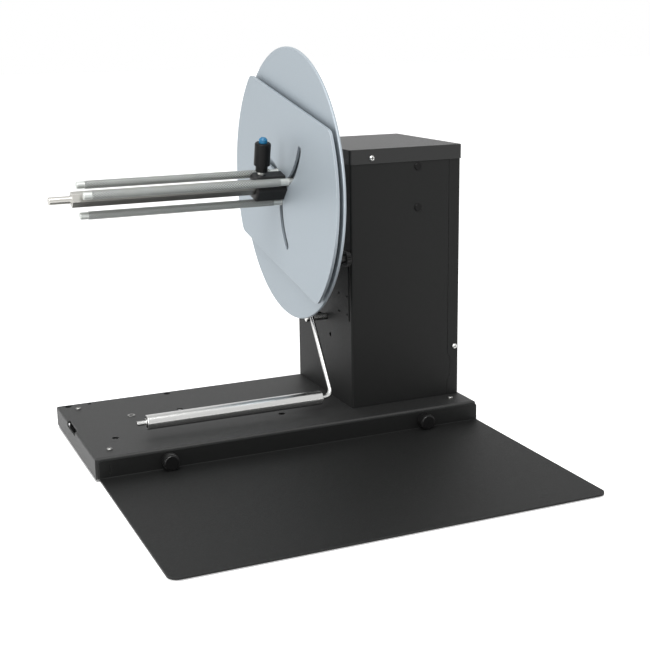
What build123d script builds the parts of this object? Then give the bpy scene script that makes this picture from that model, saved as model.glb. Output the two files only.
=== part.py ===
from build123d import *
from math import cos, hypot, radians, sin
import os

# A bench-top manual label rewinder, in millimetres.
# X runs from the free end of the spindle to the tower, Y from the front plate to the back,
# Z up. The origin is on the table, in the middle of the footprint. Angles round the
# spindle are measured in its plane from +Y towards +Z.

os.makedirs("parts", exist_ok=True)

# ---------------------------------------------------------------- driving dimensions
# Base tray, an inverted pan of folded sheet on rubber feet
base_length = 440.0
base_depth = 193.3
base_height = 21.9
tray_sheet = 1.5
tray_bend = 2.5
foot_drop = 3.0
foot_diameter = 22.0
foot_taper = 3.0
foot_inset_x = 20.5
foot_inset_y = 22.0
foot_screw_shank = 4.0
foot_screw_length = 14.0
# Holes in the tray's top: distance from the left end, from the front, diameter
tray_holes = [
    (12.0, 185.8, 8.0),
    (36.4, 185.8, 5.0),
    (35.2, 55.2, 7.5),
    (128.5, 184.7, 7.5),
    (125.0, 120.0, 7.5),
    (223.2, 53.8, 7.5),
]
# The slot across the left fold takes the foot of an outboard support
fold_slot_length = 40.0
fold_slot_inward = 3.5
fold_slot_down = 6.0
insert_from_left = 69.2
insert_setback = 121.7
insert_flange = 8.5
insert_bore = 5.0
insert_sleeve = 7.0
insert_depth = 9.0

# Front plate, with a flange turned up in front of the tray
plate_width = 437.0
plate_reach = 251.5
plate_overhang = 0.5
plate_sheet = 2.0
plate_corner = 10.0
plate_bend = 2.6
plate_above_edge = 0.6
flange_height = 20.8
flange_corner = 3.0
slit_width = 1.2
slit_height = 8.0
slit_from_left = 11.0
pad_diameter = 14.0
pad_inset = 22.0
knob_spots = (76.5, 373.0)
knob_height = 9.6
knob_diameter = 17.4
knob_depth = 9.6
knob_stud = 5.0
knob_flutes = 28
knob_flute = 1.0
weld_nut_flats = 8.0
weld_nut_height = 4.0

# Tower, folded from sheet, with a side cover and a lid
tower_from_left = 301.8
tower_width = 135.5
tower_front_inset = 35.5
tower_above_axis = 42.0
tower_sheet = 2.0
tower_bend = 2.5
tower_lip = 18.0
seam_from_right = 14.8
seam_gap = 0.6
seam_jog = 3.6
jog_low = 24.7
jog_high = 50.0
jog_slope = 6.0
cap_sheet = 1.0
cap_flange = 15.8
cap_corner = 3.0
cap_screw_from_left = 25.2
cap_screw_drop = 9.8
cover_screw_from_right = 5.5
cover_screw_height = 57.6
tab_hidden = 6.0
tab_height = 26.0
plug_diameter = 8.5
plug_from_left = 82.0
plug_drops = (21.1, 66.4)
pan_head = 6.0
pan_height = 2.0
screw_shank = 3.0
tower_bolt_shank = 5.0
tower_bolt_head = 3.5
tower_nut_height = 4.0
tower_bolt_past = 2.0
tower_bolt_inset = 40.0

# Openings in the tower's left wall, heights above the tray's lower edge and
# distances behind the base's front
accessory_spacing_y = 22.0
accessory_spacing_z = 21.0
accessory_setback = 59.0
accessory_height = 138.5
accessory_hole = 3.2
spare_hole = 5.0
spare_hole_setback = 95.8
spare_hole_height = 94.9
peg_slot_front = 102.0
peg_slot_back = 152.0
peg_slot_width = 4.4
tension_slot_low = 121.0
tension_slot_high = 196.0
tension_slot_width = 3.4

# Spindle
axis_setback = 114.1
axis_height = 268.6
stub_overhang = 7.5
stub_diameter = 8.3
stub_length = 24.1
stub_rounding = 1.2
stub_collar = 10.0
stub_collar_length = 1.0
bar_flats = 15.0
bar_tilt = 13.0
journal_diameter = 13.0
shaft_diameter = 12.0
spindle_thread = 10.0
spindle_nut_flats = 17.0
shaft_hole = 17.0

# Chuck: hub block and slotted plate turn on the journal, the disc is fast on the spindle
hub_start = 219.0
hub_length = 34.4
hub_flats = 28.0
disc_diameter = 302.8
disc_thickness = 3.0
disc_edge = 0.8
plate_to_disc = 4.8
slotted_thickness = 3.0
slotted_flat = 96.4
slotted_flat_tilt = 12.0
slotted_corner = 13.0
hub_flange_diameter = 27.0
hub_sleeve_diameter = 22.0
hub_sleeve_length = 20.0

# Three rods that grip the core
rod_count = 3
rod_first_angle = 43.0
rod_circle = 19.0
rod_tip = 25.4
rod_diameter = 9.0
rod_end_diameter = 8.0
rod_end_length = 9.0
rod_band = 150.0
rod_band_length = 3.0
rod_shank = 6.0
slot_width = 9.6
slot_sweep = 21.0
slot_over_sweep = 1.0
slot_under_sweep = 0.6
travel_per_degree = 49.0 / 22.0
slot_steps = 9
rod_washer = 12.0
rod_washer_height = 1.6
rod_nut_flats = 10.0
rod_nut_height = 5.0

# Clamp knob, square to the hub's upper flat
clamp_from_left = 227.8
clamp_angle = 103.0
clamp_stud = 6.0
clamp_ring = 9.0
clamp_ring_end = 18.2
clamp_neck = 13.5
clamp_neck_end = 25.5
clamp_stud_hold = 10.0
clamp_body = 18.0
clamp_body_end = 50.9
clamp_body_edge = 2.2
clamp_button = 9.4
clamp_button_end = 56.4
clamp_button_seat = 43.0
clamp_button_stroke = 2.0

# Dancer arm and roller
pivot_setback = 140.0
pivot_height = 171.5
pivot_diameter = 10.0
pivot_head = 17.0
pivot_head_height = 3.8
pivot_thread = 8.0
pivot_past_nut = 1.5
pivot_nut_flats = 13.0
pivot_nut_height = 6.5
pivot_recess = 5.0
pivot_recess_depth = 2.5
arm_hub_diameter = 20.0
arm_from_left = 281.7
arm_rod = 5.0
arm_bend = 9.0
arm_socket_depth = 4.6
roller_setback = 48.0
roller_height = 36.2
roller_diameter = 16.0
roller_bore = 12.0
roller_from_left = 67.4
roller_length = 201.1
roller_bush_length = 9.0
axle_stub = 10.5
clip_diameter = 9.5
clip_thickness = 0.8
peg_diameter = 8.0
peg_screw = 4.0
peg_height = 113.5
peg_nut_flats = 7.0
peg_nut_height = 3.2

# Tension knob, on a slider in the tower's upright slot
tension_height = 193.0
tension_rim = 18.3
tension_rim_depth = 5.2
tension_boss = 10.8
tension_boss_depth = 7.0
tension_stud = 3.0
tension_flutes = 20
tension_flute = 1.3
slider_width = 9.0
slider_height = 20.0
slider_thickness = 4.0
slider_arm_thickness = 3.0

# Bearings and brake inside the tower
bearing_outer = 28.0
bearing_width = 8.0
housing_diameter = 46.0
housing_depth = 10.0
rear_plate_offset = 44.0
rear_plate_thickness = 8.0
rear_plate_margin = 9.0
standoff_diameter = 10.0
standoff_out = 38.0
standoff_up = 12.0
standoff_down = 34.0
drum_diameter = 48.0
drum_width = 16.0
drum_from_wall = 14.0
drum_web = 5.0
drum_boss = 24.0
pad_thickness = 4.0
pad_length = 26.0
lever_thickness = 5.0
lever_width = 12.0
lever_pivot_back = 50.0
lever_pivot_diameter = 6.0
spring_diameter = 8.0
spring_bore = 6.0
spring_setback = 47.0

# Clearances
running_fit = 0.05
sliding_fit = 0.1
moving_gap = 0.3

# ---------------------------------------------------------------- shared places
base_left = -(base_length + plate_overhang - stub_overhang) / 2
base_front = (plate_reach - axis_setback - disc_diameter / 2) / 2
tray_edge = foot_drop
tray_top = tray_edge + base_height
tray_under = tray_top - tray_sheet
foot_spots = [
    (base_left + x, base_front + y)
    for x in (foot_inset_x, base_length - foot_inset_x)
    for y in (foot_inset_y, base_depth - foot_inset_y)
]
insert_spot = (base_left + insert_from_left, base_front + insert_setback)
base_middle = (base_left + base_length / 2, base_front + base_depth / 2)
axis_y = base_front + axis_setback
axis_z = tray_edge + axis_height

plate_right = base_left + base_length + plate_overhang
plate_left = plate_right - plate_width
plate_front = base_front - plate_reach
plate_top = tray_edge + plate_above_edge
plate_bottom = plate_top - plate_sheet
flange_face = base_front - plate_sheet
knob_z = tray_edge + knob_height

tower_left = base_left + tower_from_left
tower_right = tower_left + tower_width
tower_front = base_front + tower_front_inset
tower_back = base_front + base_depth
tower_depth = tower_back - tower_front
tower_top = axis_z + tower_above_axis
tower_height = tower_top - tray_top
wall_inside = tower_left + tower_sheet
front_inside = tower_front + tower_sheet
seam_x = tower_right - seam_from_right

tower_bolt_spots = [
    (tower_left + tower_lip * 0.55, tower_front + tower_bolt_inset),
    (tower_left + tower_lip * 0.55, tower_back - tower_bolt_inset),
    (tower_left + tower_width * 0.72, tower_front + tower_lip * 0.6),
    (tower_left + tower_width * 0.72, tower_back - tower_lip * 0.6),
]

stub_tip = base_left - stub_overhang
bar_start = stub_tip + stub_length
hub_front = base_left + hub_start
slotted_front = hub_front + hub_length
slotted_back = slotted_front + slotted_thickness
disc_front = slotted_front + slotted_thickness + plate_to_disc
disc_back = disc_front + disc_thickness
drum_left = wall_inside + drum_from_wall
rear_plate_x = wall_inside + rear_plate_offset
rod_travel = slot_sweep * travel_per_degree

pivot_y = base_front + pivot_setback
pivot_z = tray_edge + pivot_height
roller_y = base_front + roller_setback
roller_z = tray_edge + roller_height
roller_left = base_left + roller_from_left
roller_right = roller_left + roller_length
arm_x = base_left + arm_from_left
arm_length = hypot(pivot_y - roller_y, pivot_z - roller_z)
arm_dir = ((pivot_y - roller_y) / arm_length, (pivot_z - roller_z) / arm_length)
peg_z = tray_edge + peg_height
peg_gap = peg_diameter / 2 + arm_rod / 2 + moving_gap
peg_y = roller_y + ((peg_z - roller_z) * arm_dir[0] + peg_gap) / arm_dir[1]

tension_y = front_inside + moving_gap + slider_width / 2
tension_z = tray_edge + tension_height
spring_x = drum_left + drum_width / 2
spring_y = base_front + spring_setback
lever_bottom = axis_z + drum_diameter / 2 + pad_thickness


def across(x, y=0.0, z=0.0):
    """The plane square to X at x, with its own axes along Y and Z."""
    return Plane(origin=(x, y, z), x_dir=(0, 1, 0), z_dir=(1, 0, 0))


def round_spindle(x):
    """The plane square to the spindle at x, centred on it."""
    return across(x, axis_y, axis_z)


def facing_front(y):
    """The plane square to Y at y that faces the front, with its own axes along X and Z."""
    return Plane(origin=(0, y, 0), x_dir=(1, 0, 0), z_dir=(0, -1, 0))


def facing_back(y):
    """The plane square to Y at y that faces the back, with its own axes along -X and Z."""
    return Plane(origin=(0, y, 0), x_dir=(-1, 0, 0), z_dir=(0, 1, 0))


def discs(plane, spots, diameter, length, mode=Mode.ADD):
    """Add or cut round posts of one diameter that stand on the plane at the spots."""
    with BuildSketch(plane) as profile:
        with Locations(*spots):
            Circle(diameter / 2)
    extrude(profile.sketch, amount=length, mode=mode)


def hexagons(plane, spots, flats, length, tilt=0.0, mode=Mode.ADD):
    """Add or cut hexagonal posts of one width across flats on the plane at the spots."""
    with BuildSketch(plane) as profile:
        with Locations(*spots):
            RegularPolygon(flats / 2, 6, major_radius=False, rotation=tilt)
    extrude(profile.sketch, amount=length, mode=mode)


def bevel_tops(part, plane, length):
    """Bevel the rims of what stands furthest out from the plane."""
    outward = Axis(plane.origin, plane.z_dir)
    chamfer(part.faces().filter_by(GeomType.PLANE).group_by(outward)[-1].edges(), length)


def screws(part, plane, spots, head, height, shank, length):
    """Pan-head screws with their heads on the plane and their shanks behind it."""
    discs(plane, spots, head, height)
    bevel_tops(part, plane, height * 0.45)
    discs(plane, spots, shank, -length)


# ---------------------------------------------------------------- base
with BuildPart() as base_tray:
    with BuildSketch(Plane.XY.offset(tray_edge)):
        with Locations(base_middle):
            Rectangle(base_length, base_depth)
    extrude(amount=base_height)
    fillet(base_tray.faces().sort_by(Axis.Z)[-1].edges(), tray_bend)
    offset(amount=-tray_sheet, openings=base_tray.faces().sort_by(Axis.Z)[0])
    for from_left, setback, diameter in tray_holes:
        spot = (base_left + from_left, base_front + setback)
        discs(Plane.XY.offset(tray_top), [spot], diameter, -2 * tray_sheet, Mode.SUBTRACT)
    discs(Plane.XY.offset(tray_top), foot_spots, foot_screw_shank, -2 * tray_sheet, Mode.SUBTRACT)
    discs(Plane.XY.offset(tray_top), tower_bolt_spots, tower_bolt_shank, -2 * tray_sheet, Mode.SUBTRACT)
    discs(Plane.XY.offset(tray_top), [insert_spot], insert_sleeve, -2 * tray_sheet, Mode.SUBTRACT)
    # slot across the left fold, in line with the spindle
    with BuildSketch(Plane.XY.offset(tray_top - fold_slot_down)):
        with Locations((base_left, axis_y)):
            Rectangle(2 * fold_slot_inward, fold_slot_length)
    extrude(amount=2 * fold_slot_down, mode=Mode.SUBTRACT)
    knob_studs = [(base_left + x, knob_z) for x in knob_spots]
    discs(facing_front(base_front), knob_studs, knob_stud + 2 * moving_gap, -2 * tray_sheet, Mode.SUBTRACT)
base_tray.part.label = "base_tray"
export_step(base_tray.part, "parts/base_tray.step")

with BuildPart() as base_feet:
    with BuildSketch(Plane.XY):
        with Locations(*foot_spots):
            Circle(foot_diameter / 2)
    extrude(amount=tray_under, taper=foot_taper)
    discs(Plane.XY.offset(tray_under), foot_spots, foot_screw_shank, -foot_screw_length, Mode.SUBTRACT)
base_feet.part.label = "base_feet"
export_step(base_feet.part, "parts/base_feet.step")

with BuildPart() as foot_screws:
    top = Plane.XY.offset(tray_top)
    reach = tray_sheet + foot_screw_length
    screws(foot_screws, top, foot_spots, pan_head, pan_height, foot_screw_shank, reach)
foot_screws.part.label = "foot_screws"
export_step(foot_screws.part, "parts/foot_screws.step")

with BuildPart() as insert_nut:
    discs(Plane.XY.offset(tray_top), [insert_spot], insert_flange, 0.7)
    discs(Plane.XY.offset(tray_top), [insert_spot], insert_sleeve, -insert_depth)
    discs(Plane.XY.offset(tray_top + 0.7), [insert_spot], insert_bore, -insert_depth - 0.7, Mode.SUBTRACT)
insert_nut.part.label = "insert_nut"
export_step(insert_nut.part, "parts/insert_nut.step")

# ---------------------------------------------------------------- front plate
with BuildPart() as front_plate:
    with BuildSketch(across(plate_left)) as plate_section:
        with BuildLine():
            Polyline(
                (plate_front, plate_bottom),
                (base_front, plate_bottom),
                (base_front, plate_bottom + flange_height),
                (flange_face, plate_bottom + flange_height),
                (flange_face, plate_top),
                (plate_front, plate_top),
                close=True,
            )
        make_face()
        heel = plate_section.vertices().sort_by_distance((base_front, plate_bottom))[0]
        fillet(heel, plate_bend)
        inner_heel = plate_section.vertices().sort_by_distance((flange_face, plate_top))[0]
        fillet(inner_heel, plate_bend - plate_sheet)
    extrude(amount=plate_width)
    fillet(front_plate.edges().filter_by(Axis.Z).group_by(Axis.Y)[0], plate_corner)
    upper_corners = front_plate.edges().filter_by(Axis.Y).group_by(Axis.Z)[-1]
    fillet(upper_corners, flange_corner)
    discs(facing_front(base_front), knob_studs, knob_stud + 2 * moving_gap, plate_bend, Mode.SUBTRACT)
    with BuildSketch(facing_front(base_front)):
        with Locations((plate_left + slit_from_left, knob_z)):
            Rectangle(slit_width, slit_height)
    extrude(amount=plate_bend, mode=Mode.SUBTRACT)
front_plate.part.label = "front_plate"
export_step(front_plate.part, "parts/front_plate.step")

with BuildPart() as plate_pads:
    pad_spots = [
        (x, y)
        for x in (plate_left + pad_inset, plate_right - pad_inset)
        for y in (plate_front + pad_inset, flange_face - pad_inset)
    ]
    discs(Plane.XY, pad_spots, pad_diameter, plate_bottom)
plate_pads.part.label = "plate_pads"
export_step(plate_pads.part, "parts/plate_pads.step")

with BuildPart() as weld_nuts:
    wall_back = facing_front(base_front + tray_sheet)
    hexagons(wall_back, knob_studs, weld_nut_flats, -weld_nut_height)
    discs(wall_back, knob_studs, knob_stud + 2 * sliding_fit, -weld_nut_height, Mode.SUBTRACT)
weld_nuts.part.label = "weld_nuts"
export_step(weld_nuts.part, "parts/weld_nuts.step")

# Thumb screws that clamp the plate's flange to the tray
stud_length = plate_sheet + tray_sheet + weld_nut_height + moving_gap
for side, (knob_x, height) in zip(("left", "right"), knob_studs):
    knob_seat = facing_front(flange_face - moving_gap)
    with BuildPart() as plate_knob:
        with BuildSketch(knob_seat):
            with Locations((knob_x, height)):
                Circle(knob_diameter / 2)
                with PolarLocations(knob_diameter / 2, knob_flutes):
                    Rectangle(knob_flute, knob_flute, rotation=45, mode=Mode.SUBTRACT)
        extrude(amount=knob_depth)
        discs(knob_seat.offset(knob_depth - 1.0), [(knob_x, height)], knob_diameter - 2.4, 1.0 + 0.6)
        bevel_tops(plate_knob, knob_seat, 0.5)
        discs(knob_seat, [(knob_x, height)], knob_stud, -stud_length)
    plate_knob.part.label = f"plate_knob_{side}"
    export_step(plate_knob.part, f"parts/plate_knob_{side}.step")

# ---------------------------------------------------------------- tower
seam_jog_profile = [
    (seam_x - tower_bend, tray_top + jog_low - jog_slope),
    (seam_x, tray_top + jog_low - jog_slope),
    (seam_x + seam_jog, tray_top + jog_low),
    (seam_x + seam_jog, tray_top + jog_high - jog_slope),
    (seam_x, tray_top + jog_high),
    (seam_x - tower_bend, tray_top + jog_high),
]
tower_middle_y = tower_front + tower_depth / 2
plug_spots = [(tower_left + plug_from_left, tower_top - drop) for drop in plug_drops]
cap_screw_spot = (tower_left + cap_screw_from_left, tower_top + cap_sheet - cap_screw_drop)
cover_screw_spot = (tower_right - cover_screw_from_right, tray_top + cover_screw_height)
tab_left = seam_x - tab_hidden
tab_right = tower_right - tower_sheet - moving_gap
accessory_spots = [
    (base_front + accessory_setback + side * accessory_spacing_y / 2,
     tray_edge + accessory_height + rise * accessory_spacing_z / 2)
    for side in (-1, 1)
    for rise in (-1, 1)
]
standoff_spots = [
    (side * standoff_out, rise) for side in (-1, 1) for rise in (standoff_up, -standoff_down)
]
lever_pivot = (lever_pivot_back, drum_diameter / 2 + pad_thickness + lever_thickness / 2)

with BuildPart() as tower_frame:
    with BuildSketch(Plane.XY.offset(tray_top)):
        with Locations(((tower_left + seam_x) / 2, tower_middle_y)):
            Rectangle(seam_x - tower_left, tower_depth)
    extrude(amount=tower_height)
    left_edges = tower_frame.edges().filter_by(Axis.Z).group_by(Axis.X)[0]
    fillet(left_edges, tower_bend)
    with BuildSketch(Plane.XY.offset(tray_top)):
        with Locations(((wall_inside + seam_x) / 2 + tower_sheet, tower_middle_y)):
            Rectangle(seam_x - wall_inside + 2 * tower_sheet, tower_depth - 2 * tower_sheet)
    extrude(amount=tower_height, mode=Mode.SUBTRACT)
    # lips turned in at the foot, to bolt down
    with BuildSketch(Plane.XY.offset(tray_top)):
        with Locations(((tower_left + seam_x) / 2, tower_middle_y)):
            Rectangle(seam_x - tower_left - tower_sheet, tower_depth - tower_sheet)
        with Locations(((wall_inside + seam_x) / 2 + tower_lip, tower_middle_y)):
            Rectangle(seam_x - wall_inside, tower_depth - 2 * tower_lip, mode=Mode.SUBTRACT)
    extrude(amount=tower_sheet)
    # the front panel's stepped edge, and tabs behind the cover's strips
    with BuildSketch(facing_front(tower_front)):
        with BuildLine():
            Polyline(*seam_jog_profile, close=True)
        make_face()
    extrude(amount=-tower_sheet)
    for tab_plane, side in ((facing_front(front_inside), 1), (facing_back(tower_back - tower_sheet), -1)):
        with BuildSketch(tab_plane):
            with Locations((side * (tab_left + tab_right) / 2, cover_screw_spot[1])):
                Rectangle(tab_right - tab_left, tab_height)
        extrude(amount=-tower_sheet)
    # openings in the left wall
    wall = across(tower_left)
    through = 2 * tower_sheet
    discs(wall, [(axis_y, axis_z)], shaft_hole, through, Mode.SUBTRACT)
    discs(wall, accessory_spots, accessory_hole, through, Mode.SUBTRACT)
    spare_spot = (base_front + spare_hole_setback, tray_edge + spare_hole_height)
    discs(wall, [spare_spot], spare_hole, through, Mode.SUBTRACT)
    discs(wall, [(pivot_y, pivot_z)], pivot_thread, through, Mode.SUBTRACT)
    with BuildSketch(wall):
        with Locations((base_front + (peg_slot_front + peg_slot_back) / 2, peg_z)):
            SlotOverall(peg_slot_back - peg_slot_front, peg_slot_width)
        with Locations((tension_y, tray_edge + (tension_slot_low + tension_slot_high) / 2)):
            SlotOverall(tension_slot_high - tension_slot_low, tension_slot_width, rotation=90)
    extrude(amount=through, mode=Mode.SUBTRACT)
    discs(facing_front(tower_front), plug_spots, plug_diameter - 2, -through, Mode.SUBTRACT)
    # holes for the screws that hold the lid, the cover and the tower itself
    end_to_end = -(tower_depth + 2 * cap_sheet)
    lid_face = facing_front(tower_front - cap_sheet)
    discs(lid_face, [cap_screw_spot, cover_screw_spot], screw_shank, end_to_end, Mode.SUBTRACT)
    discs(Plane.XY.offset(tray_top), tower_bolt_spots, tower_bolt_shank, through, Mode.SUBTRACT)
tower_frame.part.label = "tower_frame"
export_step(tower_frame.part, "parts/tower_frame.step")

with BuildPart() as tower_side_cover:
    cover_left = seam_x + seam_gap
    with BuildSketch(Plane.XY.offset(tray_top)):
        with Locations(((cover_left + tower_right) / 2, tower_middle_y)):
            Rectangle(tower_right - cover_left, tower_depth)
    extrude(amount=tower_height)
    right_edges = tower_side_cover.edges().filter_by(Axis.Z).group_by(Axis.X)[-1]
    fillet(right_edges, tower_bend)
    with BuildSketch(Plane.XY.offset(tray_top)):
        with Locations(((cover_left + tower_right) / 2 - tower_sheet, tower_middle_y)):
            Rectangle(tower_right - cover_left, tower_depth - 2 * tower_sheet)
    extrude(amount=tower_height, mode=Mode.SUBTRACT)
    with BuildSketch(facing_front(tower_front)):
        with BuildLine():
            Polyline(*[(x + seam_gap, z) for x, z in seam_jog_profile], close=True)
        make_face()
    extrude(amount=-tower_sheet, mode=Mode.SUBTRACT)
    discs(facing_front(tower_front), [cover_screw_spot], screw_shank, -tower_depth, Mode.SUBTRACT)
tower_side_cover.part.label = "tower_side_cover"
export_step(tower_side_cover.part, "parts/tower_side_cover.step")

with BuildPart() as tower_cap:
    with BuildSketch(Plane.XY.offset(tower_top + cap_sheet)):
        with Locations(((tower_left + tower_right) / 2, tower_middle_y)):
            Rectangle(tower_width + 2 * cap_sheet, tower_depth + 2 * cap_sheet)
    extrude(amount=-cap_flange)
    fillet(tower_cap.edges().filter_by(Axis.Z), cap_corner)
    fillet(tower_cap.faces().sort_by(Axis.Z)[-1].edges(), 0.9)
    with BuildSketch(Plane.XY.offset(tower_top)):
        with Locations(((tower_left + tower_right) / 2, tower_middle_y)):
            RectangleRounded(tower_width, tower_depth, cap_corner - cap_sheet)
    extrude(amount=-cap_flange, mode=Mode.SUBTRACT)
    discs(lid_face, [cap_screw_spot], screw_shank, end_to_end, Mode.SUBTRACT)
tower_cap.part.label = "tower_cap"
export_step(tower_cap.part, "parts/tower_cap.step")

with BuildPart() as cap_screws:
    reach = cap_sheet + tower_sheet
    front_cap_face = facing_front(tower_front - cap_sheet)
    screws(cap_screws, front_cap_face, [cap_screw_spot], pan_head, pan_height, screw_shank, reach)
    back_cap_face = facing_back(tower_back + cap_sheet)
    back_spot = (-cap_screw_spot[0], cap_screw_spot[1])
    screws(cap_screws, back_cap_face, [back_spot], pan_head, pan_height, screw_shank, reach)
cap_screws.part.label = "cap_screws"
export_step(cap_screws.part, "parts/cap_screws.step")

with BuildPart() as cover_screws:
    reach = 2 * tower_sheet
    front_face = facing_front(tower_front)
    screws(cover_screws, front_face, [cover_screw_spot], pan_head, pan_height, screw_shank, reach)
    back_face = facing_back(tower_back)
    back_spot = (-cover_screw_spot[0], cover_screw_spot[1])
    screws(cover_screws, back_face, [back_spot], pan_head, pan_height, screw_shank, reach)
cover_screws.part.label = "cover_screws"
export_step(cover_screws.part, "parts/cover_screws.step")

with BuildPart() as blanking_plugs:
    screws(blanking_plugs, facing_front(tower_front), plug_spots, plug_diameter, 1.2, plug_diameter - 2, 5.0)
blanking_plugs.part.label = "blanking_plugs"
export_step(blanking_plugs.part, "parts/blanking_plugs.step")

with BuildPart() as tower_bolts:
    tower_bolt_length = tray_sheet + tower_sheet + tower_nut_height + tower_bolt_past
    hexagons(Plane.XY.offset(tray_under), tower_bolt_spots, 1.6 * tower_bolt_shank, -tower_bolt_head)
    discs(Plane.XY.offset(tray_under), tower_bolt_spots, tower_bolt_shank, tower_bolt_length)
    nut_seat = Plane.XY.offset(tray_top + tower_sheet)
    hexagons(nut_seat, tower_bolt_spots, 1.6 * tower_bolt_shank, tower_nut_height)
tower_bolts.part.label = "tower_bolts"
export_step(tower_bolts.part, "parts/tower_bolts.step")

# ---------------------------------------------------------------- bearings
rear_plate_y = standoff_out + rear_plate_margin
rear_plate_top = standoff_up + rear_plate_margin
rear_plate_low = -standoff_down - rear_plate_margin
with BuildPart() as bearing_housing:
    discs(round_spindle(wall_inside), [(0, 0)], housing_diameter, housing_depth)
    bevel_tops(bearing_housing, round_spindle(wall_inside), 1.5)
    discs(round_spindle(wall_inside), [(0, 0)], bearing_outer, housing_depth, Mode.SUBTRACT)
bearing_housing.part.label = "bearing_housing"
export_step(bearing_housing.part, "parts/bearing_housing.step")

with BuildPart() as bearing_plate:
    with BuildSketch(round_spindle(rear_plate_x)):
        with Locations((0, (rear_plate_top + rear_plate_low) / 2)):
            RectangleRounded(2 * rear_plate_y, rear_plate_top - rear_plate_low, rear_plate_margin)
        Circle(bearing_outer / 2, mode=Mode.SUBTRACT)
    extrude(amount=rear_plate_thickness)
bearing_plate.part.label = "bearing_plate"
export_step(bearing_plate.part, "parts/bearing_plate.step")

with BuildPart() as standoffs:
    discs(round_spindle(wall_inside), standoff_spots, standoff_diameter, rear_plate_offset)
standoffs.part.label = "standoffs"
export_step(standoffs.part, "parts/standoffs.step")

with BuildPart() as standoff_screws:
    plate_face = round_spindle(rear_plate_x + rear_plate_thickness)
    discs(plate_face, standoff_spots, 9.0, 3.0)
standoff_screws.part.label = "standoff_screws"
export_step(standoff_screws.part, "parts/standoff_screws.step")

bearing_seats = (wall_inside + housing_depth - bearing_width, rear_plate_x)
with BuildPart() as ball_bearings:
    for seat in bearing_seats:
        discs(round_spindle(seat), [(0, 0)], bearing_outer, bearing_width)
        discs(round_spindle(seat), [(0, 0)], shaft_diameter + 2 * running_fit, bearing_width, Mode.SUBTRACT)
ball_bearings.part.label = "ball_bearings"
export_step(ball_bearings.part, "parts/ball_bearings.step")

# ---------------------------------------------------------------- spindle
shaft_start = wall_inside - 1.0
drum_hub_right = rear_plate_x - moving_gap
nut_start = rear_plate_x + rear_plate_thickness + moving_gap
nut_thickness = 8.0
spindle_steps = [
    (stub_tip, bar_start - stub_collar_length, stub_diameter),
    (bar_start - stub_collar_length, bar_start, stub_collar),
    (hub_front - moving_gap, shaft_start, journal_diameter),
    (shaft_start, nut_start, shaft_diameter),
    (nut_start, nut_start + nut_thickness + 3.0, spindle_thread),
]
with BuildPart() as mandrel_spindle:
    for start, end, diameter in spindle_steps:
        discs(round_spindle(start), [(0, 0)], diameter, end - start)
        if start == stub_tip:
            fillet(mandrel_spindle.faces().sort_by(Axis.X)[0].edges(), stub_rounding)
    bar_length = hub_front - moving_gap - bar_start
    hexagons(round_spindle(bar_start), [(0, 0)], bar_flats, bar_length, bar_tilt)
mandrel_spindle.part.label = "mandrel_spindle"
export_step(mandrel_spindle.part, "parts/mandrel_spindle.step")

with BuildPart() as spindle_nut:
    hexagons(round_spindle(nut_start), [(0, 0)], spindle_nut_flats, nut_thickness)
    discs(round_spindle(nut_start), [(0, 0)], spindle_thread, nut_thickness, Mode.SUBTRACT)
spindle_nut.part.label = "spindle_nut"
export_step(spindle_nut.part, "parts/spindle_nut.step")

with BuildPart() as brake_drum:
    discs(round_spindle(drum_left), [(0, 0)], drum_diameter, drum_width)
    groove_plane = round_spindle(drum_left + drum_web)
    discs(groove_plane, [(0, 0)], drum_diameter - 8, drum_width, Mode.SUBTRACT)
    discs(round_spindle(drum_left), [(0, 0)], drum_boss, drum_hub_right - drum_left)
    discs(round_spindle(drum_left), [(0, 0)], shaft_diameter, drum_hub_right - drum_left, Mode.SUBTRACT)
brake_drum.part.label = "brake_drum"
export_step(brake_drum.part, "parts/brake_drum.step")

rod_angles = [rod_first_angle + i * 360 / rod_count for i in range(rod_count)]
with BuildPart() as flange_disc:
    with BuildSketch(round_spindle(disc_front)):
        Circle(disc_diameter / 2)
        Circle(hub_sleeve_diameter / 2, mode=Mode.SUBTRACT)
        with PolarLocations(rod_circle + rod_travel / 2, rod_count, start_angle=rod_first_angle):
            SlotCenterToCenter(rod_travel + 1.0, rod_shank + 2 * sliding_fit, mode=Mode.SUBTRACT)
    extrude(amount=disc_thickness)
    rims = flange_disc.edges().filter_by(GeomType.CIRCLE).sort_by(SortBy.RADIUS)[-2:]
    chamfer(rims, disc_edge)
flange_disc.part.label = "flange_disc"
export_step(flange_disc.part, "parts/flange_disc.step")

# Flanged hub that the disc is screwed to
flange_start = slotted_back + moving_gap
with BuildPart() as flange_hub:
    discs(round_spindle(flange_start), [(0, 0)], hub_flange_diameter, disc_front - flange_start)
    sleeve_end = disc_back + hub_sleeve_length
    discs(round_spindle(disc_front), [(0, 0)], hub_sleeve_diameter, sleeve_end - disc_front)
    bevel_tops(flange_hub, round_spindle(disc_front), 1.0)
    hub_through = sleeve_end - flange_start
    discs(round_spindle(flange_start), [(0, 0)], journal_diameter, hub_through, Mode.SUBTRACT)
flange_hub.part.label = "flange_hub"
export_step(flange_hub.part, "parts/flange_hub.step")

# ---------------------------------------------------------------- chuck
# The slots follow a spiral of steady pitch: turning the plate by one degree moves every
# rod outwards by travel_per_degree, so the rods stay on one circle.
slot_start = -slot_under_sweep
slot_end = slot_sweep + slot_over_sweep


def slot_point(turned, aside, beyond=0.0):
    """A point of the spiral after a turn in degrees, moved square to it and along it."""
    radius = rod_circle + turned * travel_per_degree
    spot = Vector(radius, 0)
    along = Vector(travel_per_degree, -radius * radians(1)).normalized()
    spot += Vector(-along.Y, along.X) * aside + along * beyond
    return spot.rotate(Axis.Z, -turned)


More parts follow.
